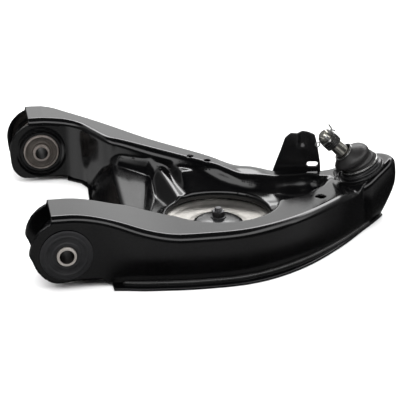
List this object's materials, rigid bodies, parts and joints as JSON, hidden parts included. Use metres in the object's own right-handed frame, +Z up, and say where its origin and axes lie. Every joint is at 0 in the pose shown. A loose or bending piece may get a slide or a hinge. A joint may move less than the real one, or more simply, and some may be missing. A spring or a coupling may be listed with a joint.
{
  "type": "suspension control arm",
  "caption": "Stamped steel lower control arm with two rubber pivot bushings, a spring seat, a stop bracket and a ball joint with boot, castle nut and cotter pin.",
  "frame": {"origin": "centre of the front pivot bore, midway along the front inner sleeve", "axes": "+X outboard to the ball joint, +Y along the pivot axis from the front bushing to the rear bushing, +Z up"},
  "size_m": [0.4202, 0.3991, 0.1153],
  "materials": {
    "black_paint": "glossy black electro-coat over pressed steel",
    "seat_steel": "satin, thinly coated",
    "sleeve_steel": "machined, lightly oiled",
    "bushing_rubber": "matte moulded rubber",
    "boot_rubber": "satin moulded rubber",
    "stud_steel": "bright machined",
    "nut_zinc": "zinc plated",
    "bearing_plastic": "moulded acetal"
  },
  "bodies": {
    "arm": {"upper_shell": "black_paint", "lower_plate": "black_paint", "front_seam_weld": "black_paint", "rear_seam_weld": "black_paint", "spring_seat": "seat_steel", "seat_disc": "black_paint", "seat_bolt": "nut_zinc", "seat_nut": "nut_zinc", "stop_bracket": "black_paint", "bracket_weld": "black_paint", "front_bushing_can": "sleeve_steel", "front_bushing_rubber": "bushing_rubber", "rear_bushing_can": "sleeve_steel", "rear_bushing_rubber": "bushing_rubber", "ball_joint_housing": "black_paint", "ball_upper_bearing": "bearing_plastic", "ball_lower_bearing": "bearing_plastic", "preload_spring": "sleeve_steel", "housing_cover": "black_paint", "boot_lower_ring": "sleeve_steel"},
    "front_sleeve": {"front_inner_sleeve": "sleeve_steel"},
    "rear_sleeve": {"rear_inner_sleeve": "sleeve_steel"},
    "boot": {"dust_boot": "boot_rubber"},
    "boot_top": {"boot_upper_ring": "sleeve_steel"},
    "stud": {"ball_stud": "stud_steel", "castle_nut": "nut_zinc", "cotter_pin": "nut_zinc"}
  },
  "joints": [
    {"name": "front_bushing_twist", "type": "hinge", "parent": "arm", "child": "front_sleeve", "pos_m": [0, 0, 0], "axis": [0, 1, 0], "range_deg": [-30, 30], "stiffness_Nm_per_rad": 20},
    {"name": "rear_bushing_twist", "type": "hinge", "parent": "arm", "child": "rear_sleeve", "pos_m": [0, 0.309, 0], "axis": [0, 1, 0], "range_deg": [-30, 30], "stiffness_Nm_per_rad": 20},
    {"name": "ball_swing", "type": "hinge", "parent": "arm", "child": "boot", "pos_m": [0.343, 0.095, 0.024], "axis": [0, 1, 0], "range_deg": [-5, 47], "deforming": ["dust_boot"]},
    {"name": "ball_tilt", "type": "hinge", "parent": "boot", "child": "boot_top", "pos_m": [0.343, 0.095, 0.024], "axis": [0.682, 0, 0.7314], "range_deg": [-16, 16]},
    {"name": "stud_spin", "type": "hinge", "parent": "boot_top", "child": "stud", "pos_m": [0.343, 0.095, 0.024], "axis": [-0.7314, 0, 0.682], "continuous": true}
  ]
}
